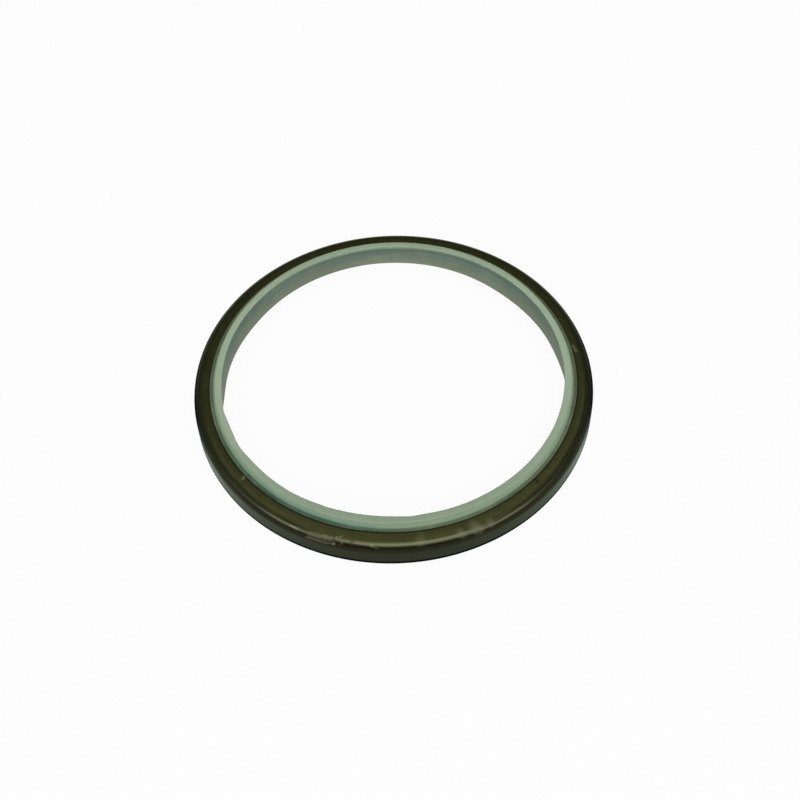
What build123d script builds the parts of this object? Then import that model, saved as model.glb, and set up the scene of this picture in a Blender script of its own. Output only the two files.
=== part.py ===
from build123d import *
import os

# A metal-cased lip seal for a pin or slow shaft. A pressed steel case of L-shaped section takes the
# press fit in the housing, and a moulded polyurethane ring bonded inside it carries two lips: a short
# wiping lip that leans inwards above the flange, and a long lower lip that grips the pin.
# Lengths are in mm. The seal stands on the rim of its case with its axis on Z, flange upwards.

# Pin, housing and their fits
pin_diameter = 85.0
section_width = 7.0  # radial room between the pin and the housing bore
press_allowance = 0.15  # the case is this much larger than the housing bore, on diameter
lip_grip = 0.5  # the lower lip is this much smaller than the pin, on diameter

# Steel case
case_width = 7.2
steel_thickness = 1.2
case_corner_radius = 2.8  # outside of the bend between wall and flange
flange_gap = 2.7  # from the pin to the inner edge of the flange
flange_edge_radius = 0.5
lead_in_length = 0.5  # taper that starts the case in its housing
lead_in_depth = 0.1

# Wiping lip, measured up from the flange's face
wiper_height = 1.75
wiper_bite = 0.45  # the tip's corner, before it is rounded, lies this far inside the pin's surface
wiper_land = 1.9  # width of the end face
wiper_fall = 0.15  # the end face drops this much from the tip to the shoulder
wiper_tip_radius = 0.26
wiper_shoulder_radius = 0.4

# Gutter between the flange's inner edge and the foot of the wiping lip
gutter_width = 0.5
gutter_depth = 0.06  # the moulding lies this far under the flange's face
gutter_radius = 0.25

# Valley between the two lips
valley_gap = 0.6  # from the pin
valley_height = 0.1  # above the flange's face
valley_radius = 0.4

# Lower lip, measured down from the flange's face
lip_depth = 4.8  # to the far end of the band that touches the pin
band_length = 0.4
lip_back_slope = 1.0  # radial run of the back face for each mm of height

# Base of the moulding, with the relief that lets the lower lip flex
base_recess = 1.2  # above the rim of the case
relief_width = 2.4
relief_height = 2.6
relief_draft = 0.3
relief_radius = 0.8

pin_radius = pin_diameter / 2
case_radius = pin_radius + section_width + press_allowance / 2
wall_inner = case_radius - steel_thickness
flange_edge = pin_radius + flange_gap
flange_bottom = case_width - steel_thickness
bend_radius = min(case_corner_radius, case_radius - flange_edge - flange_edge_radius)


def section(*corners):
    """A face in the XZ plane, from corners given as radius from the axis, height and rounding."""
    with BuildSketch(Plane.XZ) as sketch:
        with BuildLine():
            points = [(r, z) for r, z, rounding in corners]
            FilletPolyline(*points, radius=[rounding for r, z, rounding in corners], close=True)
        make_face()
    return sketch.sketch


def case_section():
    """The L of the pressed case: the lead-in taper, the wall, the bend and the flange."""
    return section(
        (wall_inner, 0, 0),
        (case_radius - lead_in_depth, 0, 0),
        (case_radius, lead_in_length, 0),
        (case_radius, case_width, bend_radius),
        (flange_edge, case_width, flange_edge_radius),
        (flange_edge, flange_bottom, 0),
        (wall_inner, flange_bottom, bend_radius - steel_thickness),
    )


def moulding_outline():
    """The moulding, with the bonded side run through the middle of the steel that it lies against."""
    mid_wall = case_radius - steel_thickness / 2
    mid_flange = case_width - steel_thickness / 2
    flange_flat = flange_edge + flange_edge_radius
    gutter_floor = case_width - gutter_depth
    wiper_top = case_width + wiper_height
    wiper_tip = pin_radius - wiper_bite
    lip_radius = pin_radius - lip_grip / 2
    band_bottom = case_width - lip_depth
    heel = lip_radius + (band_bottom - base_recess) * lip_back_slope
    relief_middle = (heel + wall_inner) / 2
    relief_half = relief_width / 2
    relief_top = base_recess + relief_height
    return section(
        (mid_wall, base_recess, 0),
        (mid_wall, mid_flange, bend_radius - steel_thickness / 2),
        (flange_flat, mid_flange, 0),
        (flange_flat, gutter_floor, 0),
        (flange_edge - gutter_width, gutter_floor, gutter_radius),
        (wiper_tip + wiper_land, wiper_top - wiper_fall, wiper_shoulder_radius),
        (wiper_tip, wiper_top, wiper_tip_radius),
        (pin_radius + valley_gap, case_width + valley_height, valley_radius),
        (lip_radius, band_bottom + band_length, 0),
        (lip_radius, band_bottom, 0),
        (heel, base_recess, 0),
        (relief_middle - relief_half, base_recess, 0),
        (relief_middle - relief_half + relief_draft, relief_top, relief_radius),
        (relief_middle + relief_half - relief_draft, relief_top, relief_radius),
        (relief_middle + relief_half, base_recess, 0),
    )


steel_section = case_section()
moulding_section = moulding_outline() - steel_section

steel_case = revolve(steel_section, Axis.Z)
lip_ring = revolve(moulding_section, Axis.Z)

os.makedirs("parts", exist_ok=True)
export_step(steel_case, "parts/steel_case.step")
export_step(lip_ring, "parts/lip_ring.step")
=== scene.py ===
import math

import bmesh
import bpy
from mathutils import Matrix, Vector, noise
from mathutils.geometry import intersect_point_line


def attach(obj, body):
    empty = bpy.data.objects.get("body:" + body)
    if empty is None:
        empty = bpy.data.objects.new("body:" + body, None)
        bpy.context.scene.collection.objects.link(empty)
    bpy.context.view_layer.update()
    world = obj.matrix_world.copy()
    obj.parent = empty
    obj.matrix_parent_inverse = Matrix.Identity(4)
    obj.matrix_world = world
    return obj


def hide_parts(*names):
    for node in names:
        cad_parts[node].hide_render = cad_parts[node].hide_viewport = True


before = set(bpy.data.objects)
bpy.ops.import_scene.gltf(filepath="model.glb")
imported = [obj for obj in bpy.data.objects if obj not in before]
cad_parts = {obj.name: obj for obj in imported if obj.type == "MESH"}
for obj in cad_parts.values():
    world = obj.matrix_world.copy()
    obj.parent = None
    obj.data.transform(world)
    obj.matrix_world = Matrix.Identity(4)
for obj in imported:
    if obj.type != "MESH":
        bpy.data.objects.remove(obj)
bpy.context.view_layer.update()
print("frame loaded:", sorted(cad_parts))

mm = 0.001  # one millimetre in metres

# camera
view = {
    "place": (0.001509, -0.206854, 0.268681),  # metres
    "lookDown": 52.7162,  # degrees below the horizon
    "roll": -2.2293,
    "lens": 60.506,
    "sensor": 36,
    "nearest": 0.01,  # metres, where the view starts
}


def addCamera():
    data = bpy.data.cameras.new("viewCamera")
    data.lens = view["lens"]
    data.sensor_width = view["sensor"]
    data.clip_start = view["nearest"]
    tilt = Matrix.Rotation(math.radians(90 - view["lookDown"]), 4, "X")
    roll = Matrix.Rotation(math.radians(view["roll"]), 4, "Z")
    viewer = bpy.data.objects.new("viewCamera", data)
    viewer.matrix_world = Matrix.Translation(view["place"]) @ tilt @ roll
    bpy.context.collection.objects.link(viewer)
    bpy.context.scene.camera = viewer


addCamera()
print("camera placed")


def linearColour(hexCode):
    parts = [int(hexCode[i:i + 2], 16) / 255 for i in (1, 3, 5)]
    return [p / 12.92 if p <= 0.04045 else ((p + 0.055) / 1.055) ** 2.4 for p in parts] + [1]


def addNode(tree, kind, links=None, **settings):
    node = tree.nodes.new(kind)
    for name, value in settings.items():
        setattr(node, name, value)
    for socket, source in (links or {}).items():
        if isinstance(source, bpy.types.NodeSocket):
            tree.links.new(source, node.inputs[socket])
        else:
            node.inputs[socket].default_value = source
    return node


def newMaterial(name):
    material = bpy.data.materials.new(name)
    material.use_nodes = True
    material.node_tree.nodes.clear()
    return material, material.node_tree


# light and floor
studio = {
    "skyRadiance": (0.2, 0.4),  # of the room near the horizon and overhead
    "skyBand": (0.1, 0.75),  # sines of the elevations between which it changes
    "lamps": {
        # name: bearing and elevation in degrees, distance, size across, size along, radiance
        "ceiling": (100, 84, 0.75, 1.1, 0.8, 0.97),
        "frontBox": (274, 45, 0.85, 0.85, 0.42, 4.1),
        "leftBox": (220, 20, 0.85, 0.4, 0.2, 4.4),
        "rightBox": (317, 19, 0.85, 0.45, 0.18, 4.7),
        "leftFill": (205, 12, 1.2, 1.0, 0.5, 0.6),
        "rightFill": (330, 12, 1.2, 0.9, 0.5, 0.45),
    },
    "floorColour": "#c4c4c4",
    "floorSize": 12,
    "floorDrop": 0.05 * mm,  # keeps the paper clear of the rim's face
    # share of the floor's look that no shadow reaches, seen straight and in reflections
    "floorGlow": (0.95, 0.7),
}


def addLamps():
    for name, (bearing, elevation, distance, across, along, radiance) in studio["lamps"].items():
        data = bpy.data.lights.new(name, "AREA")
        data.shape = "RECTANGLE"
        data.size = across
        data.size_y = along
        data.energy = radiance * math.pi * across * along
        lamp = bpy.data.objects.new(name, data)
        turned = Matrix.Rotation(math.radians(bearing + 90), 4, "Z")
        tipped = Matrix.Rotation(math.radians(90 - elevation), 4, "X")
        lamp.matrix_world = turned @ tipped @ Matrix.Translation((0, 0, distance))
        lamp.visible_camera = False
        bpy.context.collection.objects.link(lamp)


def setWorld():
    # a plain room, dimmer near the horizon than overhead, behind a white backdrop
    world = bpy.data.worlds.new("studioRoom")
    world.use_nodes = True
    tree = world.node_tree
    tree.nodes.clear()
    toSky = addNode(tree, "ShaderNodeTexCoord")
    parts = addNode(tree, "ShaderNodeSeparateXYZ", {0: toSky.outputs["Generated"]})
    (bandLow, bandHigh), (dim, bright) = studio["skyBand"], studio["skyRadiance"]
    strength = addNode(tree, "ShaderNodeMapRange", {
        "Value": parts.outputs["Z"], "From Min": bandLow, "From Max": bandHigh,
        "To Min": dim, "To Max": bright})
    path = addNode(tree, "ShaderNodeLightPath")
    shown = addNode(tree, "ShaderNodeMath", {
        0: path.outputs["Is Camera Ray"], 1: studio["floorGlow"][0]}, operation="MULTIPLY")
    seen = addNode(tree, "ShaderNodeMath", {
        0: shown.outputs[0], 1: strength.outputs[0]}, operation="MAXIMUM")
    room = addNode(tree, "ShaderNodeBackground", {
        "Color": (1, 1, 1, 1), "Strength": seen.outputs[0]})
    addNode(tree, "ShaderNodeOutputWorld", {"Surface": room.outputs[0]})
    bpy.context.scene.world = world
    bpy.context.scene.view_settings.view_transform = "Standard"


def floorPaper():
    # white studio paper: even, with a faint soft shadow round the ring
    material, tree = newMaterial("floorPaper")
    straight, reflected = studio["floorGlow"]
    path = addNode(tree, "ShaderNodeLightPath")
    seen = addNode(tree, "ShaderNodeMath", {
        0: path.outputs["Is Camera Ray"], 1: straight}, operation="MULTIPLY")
    turned = addNode(tree, "ShaderNodeMath", {
        0: path.outputs["Is Glossy Ray"], 1: path.outputs["Is Transmission Ray"]},
        operation="MAXIMUM")
    share = addNode(tree, "ShaderNodeMath", {
        0: turned.outputs[0], 1: reflected, 2: seen.outputs[0]}, operation="MULTIPLY_ADD")
    paper = addNode(tree, "ShaderNodeBsdfDiffuse", {"Color": linearColour(studio["floorColour"])})
    glow = addNode(tree, "ShaderNodeEmission", {"Color": (1, 1, 1, 1), "Strength": 1})
    mix = addNode(tree, "ShaderNodeMixShader", {
        0: share.outputs[0], 1: paper.outputs[0], 2: glow.outputs[0]})
    addNode(tree, "ShaderNodeOutputMaterial", {"Surface": mix.outputs[0]})
    return material


def addFloor():
    bm = bmesh.new()
    bmesh.ops.create_grid(bm, x_segments=1, y_segments=1, size=studio["floorSize"] / 2)
    bmesh.ops.translate(bm, verts=bm.verts[:], vec=(0, 0, -studio["floorDrop"]))
    mesh = bpy.data.meshes.new("floor")
    bm.to_mesh(mesh)
    bm.free()
    mesh.materials.append(floorPaper())
    floor = bpy.data.objects.new("floor", mesh)
    bpy.context.collection.objects.link(floor)


addLamps()
setWorld()
addFloor()
print("light and floor set")


turning = {
    "facet": 0.22,  # length of a chord on a rounding in mm
    "fewest": 4,  # chords on a rounding
    "weld": 0.001,  # points closer than this many mm become one
}


# spins a closed section; each corner is its radius, height and rounding in mm
def turnedRing(corners, spacing, steps):
    bm = bmesh.new()
    points = [bm.verts.new((radius * mm, 0, height * mm)) for radius, height, _ in corners]
    for here, after in zip(points, points[1:] + points[:1]):
        bm.edges.new((here, after))
    for i, (point, (_, _, rounding)) in enumerate(zip(points, corners)):
        if not rounding:
            continue
        corner = Vector((corners[i][0], corners[i][1]))
        before = Vector(corners[i - 1][:2]) - corner
        after = Vector(corners[(i + 1) % len(corners)][:2]) - corner
        half = before.angle(after) / 2
        turn = math.pi - 2 * half
        chords = max(turning["fewest"], round(rounding * turn / turning["facet"]))
        bmesh.ops.bevel(
            bm, geom=[point], offset=rounding * mm / math.tan(half), offset_type="OFFSET",
            segments=chords, profile=0.5, affect="VERTICES", material=-1)
    for edge in bm.edges[:]:
        cuts = math.ceil(edge.calc_length() / (spacing * mm)) - 1
        if cuts > 0:
            bmesh.ops.subdivide_edges(bm, edges=[edge], cuts=cuts)
    bmesh.ops.spin(
        bm, geom=bm.verts[:] + bm.edges[:], cent=(0, 0, 0), axis=(0, 0, 1), dvec=(0, 0, 0),
        angle=math.tau, steps=steps, use_merge=True)
    bmesh.ops.remove_doubles(bm, verts=bm.verts[:], dist=turning["weld"] * mm)
    bmesh.ops.recalc_face_normals(bm, faces=bm.faces[:])
    return bm


# place of a vertex as bearing in degrees, radius and height in mm
def ringPlace(vert):
    x, y, z = vert.co / mm
    return math.degrees(math.atan2(y, x)) % 360, math.hypot(x, y), z


def ringPoint(bearing, radius, height):
    turn = math.radians(bearing)
    return Vector((radius * math.cos(turn), radius * math.sin(turn), height)) * mm


def degreesApart(one, other):
    return (one - other + 180) % 360 - 180


def fade(value, start, end):
    share = min(max((value - start) / (end - start), 0), 1)
    return share * share * (3 - 2 * share)


# radius and height in mm, the way round the ring, and how far across its section
def ringNodes(tree):
    coords = addNode(tree, "ShaderNodeTexCoord")
    inMm = addNode(tree, "ShaderNodeVectorMath", {
        0: coords.outputs["Object"], "Scale": 1 / mm}, operation="SCALE")
    flat = addNode(tree, "ShaderNodeVectorMath", {
        0: inMm.outputs[0], 1: (1, 1, 0)}, operation="MULTIPLY")
    length = addNode(tree, "ShaderNodeVectorMath", {0: flat.outputs[0]}, operation="LENGTH")
    bearing = addNode(tree, "ShaderNodeVectorMath", {0: flat.outputs[0]}, operation="NORMALIZE")
    parts = addNode(tree, "ShaderNodeSeparateXYZ", {0: inMm.outputs[0]})
    across = addNode(tree, "ShaderNodeMath", {
        0: length.outputs["Value"], 1: parts.outputs["Z"]}, operation="SUBTRACT")
    return {"mm": inMm.outputs[0], "radius": length.outputs["Value"], "height": parts.outputs["Z"],
            "bearing": bearing.outputs[0], "across": across.outputs[0]}


# noise whose marks are so many mm long round the ring and so many mm wide across its section
def turnedNoise(tree, ring, long, wide, detail):
    around = addNode(tree, "ShaderNodeVectorMath", {
        0: ring["bearing"], "Scale": case["outside"] / long}, operation="SCALE")
    across = addNode(tree, "ShaderNodeMath", {0: ring["across"], 1: wide}, operation="DIVIDE")
    upward = addNode(tree, "ShaderNodeCombineXYZ", {2: across.outputs[0]})
    place = addNode(tree, "ShaderNodeVectorMath", {
        0: around.outputs[0], 1: upward.outputs[0]}, operation="ADD")
    return addNode(tree, "ShaderNodeTexNoise", {
        "Vector": place.outputs[0], "Scale": 1, "Detail": detail}).outputs[0]


def finishPiece(bm, name, material, node, sharpAngle):
    for face in bm.faces:
        face.smooth = True
    for edge in bm.edges:
        edge.smooth = edge.calc_face_angle(0) < math.radians(sharpAngle)
    openEdges = sum(len(edge.link_faces) != 2 for edge in bm.edges)
    mesh = bpy.data.meshes.new(name)
    bm.to_mesh(mesh)
    bm.free()
    mesh.materials.append(material)
    piece = bpy.data.objects.new(name, mesh)
    bpy.context.collection.objects.link(piece)
    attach(piece, "root")
    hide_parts(node)
    print(name, len(mesh.polygons), "faces,", openEdges, "open edges")


# pressed steel case
case = {
    "outside": 49.575,
    "wall": 1.2,
    "width": 7.2,
    "bend": 2.8,  # outside radius between wall and flange
    "flangeEdge": 45.2,
    "edgeRound": 0.5,
    "leadIn": (0.1, 0.5),  # depth and length of the taper
    "spacing": 0.25,
    "steps": 720,
    "sharpAngle": 15,
    "lacquer": "#2f300f",
    "lacquerThin": "#343618",  # paler places in its mottle
    "mottle": 2.2,
    "mottleEnds": (0.38, 0.66),
    "lacquerWorn": "#3b3f2c",  # the bend, rubbed thin by handling
    "wornShare": 0.85,
    "wornEnds": (1.9, 1.0),  # mm in from the outside, where it starts and is full
    "wallShadeColour": "#201f0b",  # painted shade on the lower bend and the drawn wall
    "wallEnds": (2.1, 1.5),  # mm above the foot of the bend
    "edgeShade": 0.6,  # along the flange's inner edge
    "edgeEnds": (0.4, 0.9),  # mm from that edge
    "bareSteel": "#8c8b6a",
    "nickDark": "#10130a",
    "grazing": "#ccd8c8",  # seen edge-on the lacquer stays dull and turns cooler
    "roughness": 0.3,
    "coat": (0.2, 0.2),  # weight and roughness
    "drawing": (9, 0.45),  # marks' length and width in mm, several times the real ones, to show
    "drawEnds": (0.3, 0.7),
    "drawShade": (0.85, 1.15),
    "drawRough": (-0.05, 0.07),
    "drawBump": (0.25, 0.03),  # strength, and depth in mm
    "scuffs": (0.6, 2.5),  # spacing of the cross scuffs and their length in mm
    "scuffEnds": (0.3, 0.75),
    "scuffShares": (0.25, 0.47),  # of bare steel between and in the scuffs
    "scuffRough": 0.4,
    # the same colour is painted shade over the shoulder and wall away from the front
    "nearBlack": "#0a0c10",  # rough and nearly black, along the bottom of the wall
    "rimEnds": (1.2, 0.85),  # height in mm
    "sideShade": 0.94,  # painted shade: its share on the shoulder and wall, away from the front
    "sideShadeBearing": (-0.45, -0.2),  # as the sine of the bearing
    "sideShadeEnds": (1.3, 0.6),  # mm in from the outside
    "markEnds": (1.5, 0.4),  # where a mark fades out and is full, in half widths
    "markReach": 6,  # degrees either side of a mark's start that it can touch
    "marks": [
        # kind, then two ends as bearing, radius and height, half width, strength, depth pressed in
        ("bare", (219.2, 46.6, 7.2), (218.7, 45.8, 7.2), 0.2, 0.55, 0.05),
        ("bare", (244.7, 49.43, 5.28), (246.1, 49.38, 5.42), 0.2, 0.4, 0.03),
        ("bare", (246.5, 49.38, 5.42), (249.2, 49.38, 5.42), 0.2, 0.4, 0.03),
        ("bare", (249.6, 49.43, 5.28), (251.3, 49.32, 5.56), 0.2, 0.35, 0.03),
        ("bare", (251.5, 48.4, 6.6), (256.5, 48.6, 6.5), 1.5, 0, 0.07),
        ("bare", (252.3, 49.29, 5.62), (252.5, 49.29, 5.62), 0.3, 0.8, 0.05),
        ("bare", (253.1, 48.07, 6.88), (253.3, 48.62, 6.51), 0.18, 0.35, 0),
        ("bare", (254.1, 47.79, 7.01), (254.5, 49.11, 5.95), 0.18, 0.35, 0.02),
        ("bare", (262.5, 48.73, 6.41), (264.3, 49.11, 5.95), 0.22, 0.35, 0.02),
        ("bare", (239.6, 48.78, 6.35), (241.5, 48.83, 6.30), 0.28, 0.15, 0),
        ("brushed", (246.0, 49.05, 6.0), (253.5, 49.0, 6.1), 0.9, 0.36, 0),
        ("brushed", (275.9, 47.4, 7.13), (275.8, 48.5, 6.6), 1.1, 0.22, 0),
        ("brushed", (286.9, 47.9, 6.96), (287.3, 48.7, 6.4), 0.8, 0.35, 0),
        ("brushed", (291.3, 47.8, 7.0), (292.0, 48.8, 6.3), 1.3, 0.4, 0),
        ("brushed", (295.7, 47.9, 6.95), (296.0, 48.8, 6.3), 0.8, 0.35, 0),
        ("dark", (315.4, 45.6, 7.2), (314.8, 46.6, 7.2), 0.3, 0.7, 0.08),
        ("bare", (9.0, 45.9, 7.2), (6.5, 46.3, 7.2), 0.35, 0.4, 0.04),
        ("dark", (9.5, 45.7, 7.2), (7.5, 45.75, 7.2), 0.25, 0.5, 0.04),
    ],
}


def markCase(bm):
    bm.normal_update()
    wear = bm.verts.layers.float_color.new("wear")
    channel = {"bare": 0, "brushed": 1, "dark": 2}
    markEdge, markCore = case["markEnds"]
    for vert in bm.verts:
        bearing = ringPlace(vert)[0]
        amounts = [0, 0, 0, 1]
        pressed = 0
        for kind, start, end, halfWidth, strength, depth in case["marks"]:
            if abs(degreesApart(bearing, start[0])) > case["markReach"]:
                continue
            first, last = ringPoint(*start), ringPoint(*end)
            nearest, along = intersect_point_line(vert.co, first, last)
            nearest = first if along < 0 else last if along > 1 else nearest
            apart = (vert.co - nearest).length / mm
            near = fade(apart, halfWidth * markEdge, halfWidth * markCore)
            amounts[channel[kind]] = max(amounts[channel[kind]], near * strength)
            pressed = max(pressed, near * depth)
        vert[wear] = amounts
        vert.co -= vert.normal * pressed * mm


def coatedSteel():
    # pressed steel under a thin baked lacquer: dark olive brown, with a soft metallic shine,
    # faint marks from drawing and small scuffs to the bare metal; painted shade darkens the lower
    # bend and the wall and the flange's inner edge, and turns the shoulder and wall dull and
    # nearly black away from the front; dull and nearly black along the bottom of the wall too
    material, tree = newMaterial("lacqueredPressedSteel")
    ring = ringNodes(tree)
    drawn = turnedNoise(tree, ring, *case["drawing"], 2)
    streaks = turnedNoise(tree, ring, *case["scuffs"], 1)
    blotch = addNode(tree, "ShaderNodeTexNoise", {
        "Vector": ring["mm"], "Scale": 1 / case["mottle"], "Detail": 3})
    wear = addNode(tree, "ShaderNodeAttribute", attribute_name="wear")
    worn = addNode(tree, "ShaderNodeSeparateColor", {0: wear.outputs["Color"]})
    start, full = case["mottleEnds"]
    mottled = addNode(tree, "ShaderNodeMapRange", {
        "Value": blotch.outputs[0], "From Min": start, "From Max": full})
    lacquer = addNode(tree, "ShaderNodeMix", {
        0: mottled.outputs[0], 6: linearColour(case["lacquer"]),
        7: linearColour(case["lacquerThin"])}, data_type="RGBA")
    start, full = case["wornEnds"]
    onBend = addNode(tree, "ShaderNodeMapRange", {
        "Value": ring["radius"], "From Min": case["outside"] - start,
        "From Max": case["outside"] - full, "To Max": case["wornShare"]},
        interpolation_type="SMOOTHSTEP")
    rubbed = addNode(tree, "ShaderNodeMix", {
        0: onBend.outputs[0], 6: lacquer.outputs[2],
        7: linearColour(case["lacquerWorn"])}, data_type="RGBA")
    # painted shade: the lower bend and the wall turn darker
    bendFoot = case["width"] - case["bend"]
    start, full = case["wallEnds"]
    onWall = addNode(tree, "ShaderNodeMapRange", {
        "Value": ring["height"], "From Min": bendFoot + start, "From Max": bendFoot + full},
        interpolation_type="SMOOTHSTEP")
    wallShaded = addNode(tree, "ShaderNodeMix", {
        0: onWall.outputs[0], 6: rubbed.outputs[2],
        7: linearColour(case["wallShadeColour"])}, data_type="RGBA")
    (faint, strong), (darker, lighter) = case["drawEnds"], case["drawShade"]
    lines = addNode(tree, "ShaderNodeMapRange", {
        "Value": drawn, "From Min": faint, "From Max": strong,
        "To Min": darker, "To Max": lighter})
    start, full = case["edgeEnds"]
    byEdge = addNode(tree, "ShaderNodeMapRange", {
        "Value": ring["radius"], "From Min": case["flangeEdge"] + start,
        "From Max": case["flangeEdge"] + full, "To Min": case["edgeShade"], "To Max": 1})
    shade = addNode(tree, "ShaderNodeMath", {
        0: lines.outputs[0], 1: byEdge.outputs[0]}, operation="MULTIPLY")
    lined = addNode(tree, "ShaderNodeVectorMath", {
        0: wallShaded.outputs[2], "Scale": shade.outputs[0]}, operation="SCALE")
    (start, full), (between, within) = case["scuffEnds"], case["scuffShares"]
    streaked = addNode(tree, "ShaderNodeMapRange", {
        "Value": streaks, "From Min": start, "From Max": full,
        "To Min": between, "To Max": within})
    brushed = addNode(tree, "ShaderNodeMath", {
        0: streaked.outputs[0], 1: worn.outputs["Green"]}, operation="MULTIPLY")
    bared = addNode(tree, "ShaderNodeMath", {
        0: brushed.outputs[0], 1: worn.outputs["Red"]}, operation="MAXIMUM")
    scuffed = addNode(tree, "ShaderNodeMix", {
        0: bared.outputs[0], 6: lined.outputs[0],
        7: linearColour(case["bareSteel"])}, data_type="RGBA")
    nicked = addNode(tree, "ShaderNodeMix", {
        0: worn.outputs["Blue"], 6: scuffed.outputs[2],
        7: linearColour(case["nickDark"])}, data_type="RGBA")
    smoother, rougher = case["drawRough"]
    rough = addNode(tree, "ShaderNodeMapRange", {
        "Value": drawn, "From Min": faint, "From Max": strong,
        "To Min": case["roughness"] + smoother, "To Max": case["roughness"] + rougher})
    scratched = addNode(tree, "ShaderNodeMath", {
        0: worn.outputs["Green"], 1: case["scuffRough"], 2: rough.outputs[0]},
        operation="MULTIPLY_ADD")
    strength, depth = case["drawBump"]
    grain = addNode(tree, "ShaderNodeBump", {
        "Height": drawn, "Strength": strength, "Distance": depth * mm})
    coatWeight, coatRoughness = case["coat"]
    steel = addNode(tree, "ShaderNodeBsdfPrincipled", {
        "Base Color": nicked.outputs[2], "Metallic": 1.0, "Roughness": scratched.outputs[0],
        "Specular Tint": linearColour(case["grazing"]), "Coat Weight": coatWeight,
        "Coat Roughness": coatRoughness, "Normal": grain.outputs[0]})
    flatBlack = addNode(tree, "ShaderNodeBsdfDiffuse", {"Color": linearColour(case["nearBlack"])})
    # nearly black and dull along the bottom of the wall
    start, full = case["rimEnds"]
    atRim = addNode(tree, "ShaderNodeMapRange", {
        "Value": ring["height"], "From Min": start, "From Max": full},
        interpolation_type="SMOOTHSTEP")
    # painted shade: the shoulder and wall turn nearly black on the sides and back, away from the
    # front
    facing = addNode(tree, "ShaderNodeSeparateXYZ", {0: ring["bearing"]})
    start, full = case["sideShadeBearing"]
    away = addNode(tree, "ShaderNodeMapRange", {
        "Value": facing.outputs["Y"], "From Min": start, "From Max": full,
        "To Max": case["sideShade"]})
    start, full = case["sideShadeEnds"]
    shoulder = addNode(tree, "ShaderNodeMapRange", {
        "Value": ring["radius"], "From Min": case["outside"] - start,
        "From Max": case["outside"] - full, "To Max": away.outputs[0]})
    dull = addNode(tree, "ShaderNodeMath", {
        0: atRim.outputs[0], 1: shoulder.outputs[0]}, operation="MAXIMUM")
    surface = addNode(tree, "ShaderNodeMixShader", {
        0: dull.outputs[0], 1: steel.outputs[0], 2: flatBlack.outputs[0]})
    addNode(tree, "ShaderNodeOutputMaterial", {"Surface": surface.outputs[0]})
    return material


def addCase():
    outside, wall, width, bend = (case[k] for k in ("outside", "wall", "width", "bend"))
    depth, length = case["leadIn"]
    bm = turnedRing([
        (outside - wall, 0, 0),
        (outside - depth, 0, 0),
        (outside, length, 0),
        (outside, width, bend),
        (case["flangeEdge"], width, case["edgeRound"]),
        (case["flangeEdge"], width - wall, 0),
        (outside - wall, width - wall, bend - wall),
    ], case["spacing"], case["steps"])
    markCase(bm)
    finishPiece(bm, "steelCase", coatedSteel(), "steel_case", case["sharpAngle"])


addCase()


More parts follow.
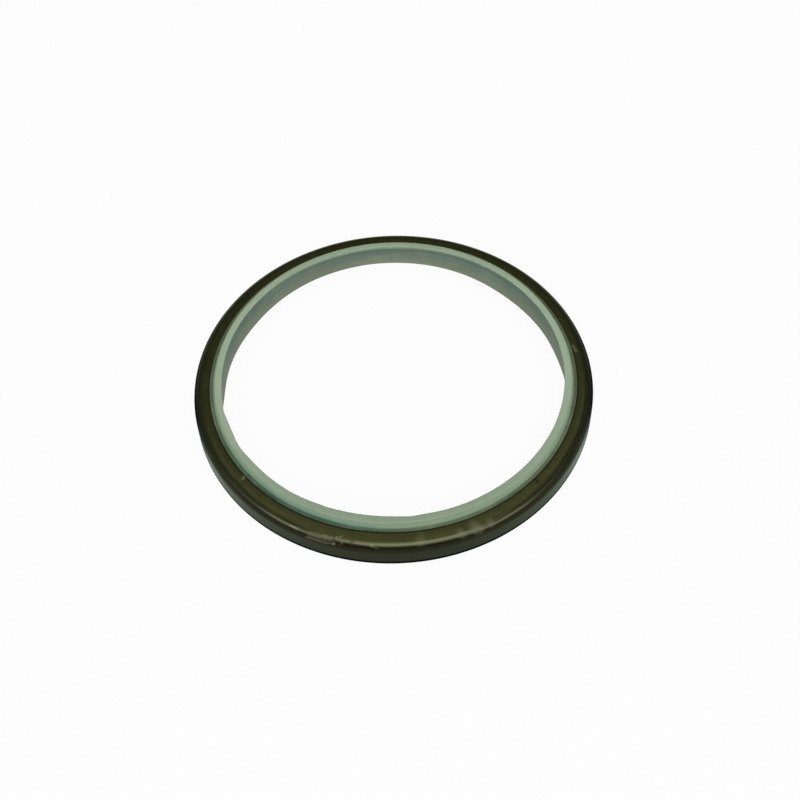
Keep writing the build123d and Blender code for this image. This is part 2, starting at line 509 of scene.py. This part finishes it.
# moulded ring with its two lips
moulding = {
    "clear": 0.02,  # gap left to the steel, so that no two faces lie in one place
    "pinRadius": 42.5,
    "base": 1.2,  # height of its underside
    # corners as mm outside the pin, mm above the flange's face, and rounding
    "gutter": (2.2, -0.06, 0.25),
    "wiper": ((1.45, 1.6, 0.4), (-0.45, 1.75, 0.26)),  # shoulder and tip of the wiping lip
    "valley": (0.6, 0.1, 0.4),
    "grip": ((-0.25, -4.4, 0), (-0.25, -4.8, 0)),  # the lower lip's band on the pin
    "gripBack": 0.95,  # mm outside the pin, at the underside
    # the relief, as mm outside the pin, mm above the underside, and rounding
    "relief": (
        (2.2125, 0, 0), (2.5125, 2.6, 0.8), (4.3125, 2.6, 0.8), (4.6125, 0, 0)),
    "spacing": 0.3,
    "steps": 720,
    "sharpAngle": 30,
    "roughness": 0.5,
    "roughSwing": 0.05,
    "scatter": (0.35, 0.7, (0.8, 1.0, 0.8)),  # weight, depth in mm, and its shares by colour
    "mottle": 3.5,
    "mottleEnds": (0.3, 0.7),
    "flow": (14, 0.6),  # length and width of the moulding's faint flow lines in mm
    "flowBump": (0.2, 0.03),  # strength, and depth in mm
    "faint": "#9aa590",
    "faintShare": 0.16,
    "faintEnds": (0.15, 0.4),
    # colour against height in mm, on the side of the pin and on the side of the case
    # pin side: darkest under the wiping lip, lighter downward: painted shade under its overhang
    "inward": (
        (1.2, "#6b765b"), (3.0, "#667159"), (5.6, "#56685a"), (7.1, "#455f4f"),
        (7.6, "#8b9d84")),
    # case side: darker over the skin and the lip's foot, from see-through skin and painted shade
    "outward": (
        (1.2, "#707c60"), (6.9, "#36482a"), (7.15, "#394b2d"), (7.5, "#748c70"),
        (8.15, "#8b9d84")),
    "outwardEnds": (1.1, 1.5),  # mm outside the pin, between one side and the other
    "deepSide": 238,  # bearing round which the outer slope is tinted darker and bluer
    "deepEnds": (0.82, 0.98),  # as the cosine of the angle from it
    "deepTint": (0.42, 0.75, 0.88),
    "deepHeights": (8.3, 7.2),  # mm, from the top of the lip down to its foot
    "deepShares": (0.12, 1),
    "skinTint": (0.5, 0.72, 0.5),  # on the same side, darker and greener over the skin
    "skinEnds": (44.4, 44.85),  # radius in mm
    "wiperTopTint": (0.66, 0.68, 0.65),  # lip top: darker at the front and, less, at the back
    "wiperTopHeights": (7.5, 8.3),
    "wiperTopFront": (0, -0.97, 1),  # sines of the bearing where it starts and ends, and its share
    "wiperTopBack": (0.6, 1, 0.35),
    "tipTint": 0.72,  # the lip's trimmed edge
    "tipEnds": (33.6, 33.25),  # radius less height in mm
    # how far the soft lips stand out of round: bearing and spread in degrees, shift in mm
    "gripWave": (
        (42, 17, -0.55), (147, 15, -0.38), (95, 14, 0.24), (358, 9, 0.7), (188.5, 5.5, 0.62),
        (114, 12, 0.13), (76, 10, 0.08), (357, 4, 0.1)),
    "gripHeights": (7.0, 3.2),  # where the lower lip starts to give and is free
    "gripRadii": (44.7, 43.6),
    "wipeWave": (
        (255, 16, -0.12), (274, 2.5, 0.22), (288, 9, 0.08), (209.5, 4.5, 0.3), (233, 5, 0.07),
        (193.5, 4, 0.27)),
    "wipeHeights": (7.6, 8.6),  # the same for the wiping lip
    "wipeRadii": (43.6, 42.8),
    "flash": (0.06, 1.2),  # depth and length of the trimmed edge's unevenness in mm
    "flashHeights": (8.2, 8.5),
    "flashRadii": (42.7, 42.35),
    "flashBearings": (222, 276, 8),  # the stretch where it is strong, and the fade at its ends
    "flashElsewhere": 0.3,
}


def shiftLips(bm):
    depth, length = moulding["flash"]
    first, last, blend = moulding["flashBearings"]
    elsewhere = moulding["flashElsewhere"]
    for vert in bm.verts:
        bearing, radius, height = ringPlace(vert)
        grip, wipe, edge = (
            fade(height, *moulding[part + "Heights"]) * fade(radius, *moulding[part + "Radii"])
            for part in ("grip", "wipe", "flash"))
        shift = 0
        for share, wave in ((grip, moulding["gripWave"]), (wipe, moulding["wipeWave"])):
            for middle, spread, most in wave:
                shift += share * most * math.exp(-(degreesApart(bearing, middle) / spread) ** 2)
        ends = fade(bearing, first, first + blend) * fade(bearing, last, last - blend)
        uneven = edge * (elsewhere + (1 - elsewhere) * ends) * depth
        shift += uneven * noise.noise(vert.co / (length * mm))
        vert.co += ringPoint(bearing, shift, 0)


def polyurethane():
    # cast polyurethane: pale mint and slightly see-through, so thin skins over the steel look
    # darker and greener; painted shade under the wiping lip's overhang and at its outer foot;
    # a soft waxy shine and faint flow lines
    material, tree = newMaterial("castPolyurethane")
    ring = ringNodes(tree)
    # colour by height, with painted shade under the wiping lip and at its outer foot
    ramps = []
    for stops in (moulding["inward"], moulding["outward"]):
        low, high = stops[0][0], stops[-1][0]
        share = addNode(tree, "ShaderNodeMapRange", {
            "Value": ring["height"], "From Min": low, "From Max": high})
        ramp = addNode(tree, "ShaderNodeValToRGB", {0: share.outputs[0]})
        elements = ramp.color_ramp.elements
        for height, colour in stops[1:-1]:
            elements.new((height - low) / (high - low)).color = linearColour(colour)
        elements[0].color = linearColour(stops[0][1])
        elements[len(elements) - 1].color = linearColour(stops[-1][1])
        ramps.append(ramp.outputs[0])
    start, full = moulding["outwardEnds"]
    outward = addNode(tree, "ShaderNodeMapRange", {
        "Value": ring["radius"], "From Min": moulding["pinRadius"] + start,
        "From Max": moulding["pinRadius"] + full})
    body = addNode(tree, "ShaderNodeMix", {
        0: outward.outputs[0], 6: ramps[0], 7: ramps[1]}, data_type="RGBA")
    turn = math.radians(moulding["deepSide"])
    facing = addNode(tree, "ShaderNodeVectorMath", {
        0: ring["bearing"], 1: (math.cos(turn), math.sin(turn), 0)}, operation="DOT_PRODUCT")
    start, full = moulding["deepEnds"]
    deep = addNode(tree, "ShaderNodeMapRange", {
        "Value": facing.outputs["Value"], "From Min": start, "From Max": full},
        interpolation_type="SMOOTHSTEP")
    (lipTop, lipFoot), (least, most) = moulding["deepHeights"], moulding["deepShares"]
    thin = addNode(tree, "ShaderNodeMapRange", {
        "Value": ring["height"], "From Min": lipTop, "From Max": lipFoot,
        "To Min": least, "To Max": most})
    thinOutward = addNode(tree, "ShaderNodeMath", {
        0: thin.outputs[0], 1: outward.outputs[0]}, operation="MULTIPLY")
    deepened = addNode(tree, "ShaderNodeMath", {
        0: deep.outputs[0], 1: thinOutward.outputs[0]}, operation="MULTIPLY")
    tinted = addNode(tree, "ShaderNodeMix", {
        0: deepened.outputs[0], 6: body.outputs[2], 7: (*moulding["deepTint"], 1)},
        data_type="RGBA", blend_type="MULTIPLY")
    start, full = moulding["skinEnds"]
    skin = addNode(tree, "ShaderNodeMapRange", {
        "Value": ring["radius"], "From Min": start, "From Max": full})
    deepSkin = addNode(tree, "ShaderNodeMath", {
        0: deepened.outputs[0], 1: skin.outputs[0]}, operation="MULTIPLY")
    darkened = addNode(tree, "ShaderNodeMix", {
        0: deepSkin.outputs[0], 6: tinted.outputs[2], 7: (*moulding["skinTint"], 1)},
        data_type="RGBA", blend_type="MULTIPLY")
    place = addNode(tree, "ShaderNodeSeparateXYZ", {0: ring["bearing"]})
    sides = []
    for start, full, most in (moulding["wiperTopFront"], moulding["wiperTopBack"]):
        sides.append(addNode(tree, "ShaderNodeMapRange", {
            "Value": place.outputs["Y"], "From Min": start, "From Max": full,
            "To Max": most}).outputs[0])
    aside = addNode(tree, "ShaderNodeMath", {0: sides[0], 1: sides[1]}, operation="MAXIMUM")
    start, full = moulding["wiperTopHeights"]
    onTop = addNode(tree, "ShaderNodeMapRange", {
        "Value": ring["height"], "From Min": start, "From Max": full, "To Max": aside.outputs[0]})
    wiperTopTinted = addNode(tree, "ShaderNodeMix", {
        0: onTop.outputs[0], 6: darkened.outputs[2], 7: (*moulding["wiperTopTint"], 1)},
        data_type="RGBA", blend_type="MULTIPLY")
    start, full = moulding["tipEnds"]
    tip = addNode(tree, "ShaderNodeMapRange", {
        "Value": ring["across"], "From Min": start, "From Max": full, "To Min": 1,
        "To Max": moulding["tipTint"]})
    tipped = addNode(tree, "ShaderNodeVectorMath", {
        0: wiperTopTinted.outputs[2], "Scale": tip.outputs[0]}, operation="SCALE")
    blotch = addNode(tree, "ShaderNodeTexNoise", {
        "Vector": ring["mm"], "Scale": 1 / moulding["mottle"], "Detail": 2})
    flow = turnedNoise(tree, ring, *moulding["flow"], 1)
    both = addNode(tree, "ShaderNodeMath", {0: blotch.outputs[0], 1: flow}, operation="MULTIPLY")
    start, full = moulding["faintEnds"]
    share = addNode(tree, "ShaderNodeMapRange", {
        "Value": both.outputs[0], "From Min": start, "From Max": full, "To Min": 0,
        "To Max": moulding["faintShare"]})
    clouded = addNode(tree, "ShaderNodeMix", {
        0: share.outputs[0], 6: tipped.outputs[0],
        7: linearColour(moulding["faint"])}, data_type="RGBA")
    (start, full), swing = moulding["mottleEnds"], moulding["roughSwing"]
    rough = addNode(tree, "ShaderNodeMapRange", {
        "Value": blotch.outputs[0], "From Min": start, "From Max": full,
        "To Min": moulding["roughness"] - swing, "To Max": moulding["roughness"] + swing})
    strength, depth = moulding["flowBump"]
    ripple = addNode(tree, "ShaderNodeBump", {
        "Height": flow, "Strength": strength, "Distance": depth * mm})
    weight, reach, byColour = moulding["scatter"]
    cast = addNode(tree, "ShaderNodeBsdfPrincipled", {
        "Base Color": clouded.outputs[2], "Roughness": rough.outputs[0], "IOR": 1.5,
        "Subsurface Weight": weight, "Subsurface Radius": byColour,
        "Subsurface Scale": reach * mm, "Normal": ripple.outputs[0]})
    addNode(tree, "ShaderNodeOutputMaterial", {"Surface": cast.outputs[0]})
    return material


def addMoulding():
    clear, pin, base = (moulding[k] for k in ("clear", "pinRadius", "base"))
    top = case["width"]
    wallInner = case["outside"] - case["wall"] - clear
    underFlange = top - case["wall"] - clear
    edge = case["flangeEdge"] - clear
    # the top of the skin follows the steel's rounded edge, one chord to each half of the turn
    roundCentre = case["flangeEdge"] + case["edgeRound"]
    roundStart = top - case["edgeRound"]
    reach = case["edgeRound"] + clear
    skinTurn = math.asin((case["edgeRound"] + moulding["gutter"][1]) / reach)
    skin = [(roundCentre - reach * math.cos(turn), roundStart + reach * math.sin(turn), 0)
            for turn in (0, skinTurn / 2, skinTurn)]
    face = [moulding["gutter"], *moulding["wiper"], moulding["valley"], *moulding["grip"]]
    bm = turnedRing([
        (wallInner, base, 0),
        (wallInner, underFlange, case["bend"] - case["wall"]),
        (edge, underFlange, 0),
        *skin,
        *((pin + out, top + up, rounding) for out, up, rounding in face),
        (pin + moulding["gripBack"], base, 0),
        *((pin + out, base + up, rounding) for out, up, rounding in moulding["relief"]),
    ], moulding["spacing"], moulding["steps"])
    shiftLips(bm)
    finishPiece(
        bm, "lipRing", polyurethane(), "lip_ring", moulding["sharpAngle"])


addMoulding()
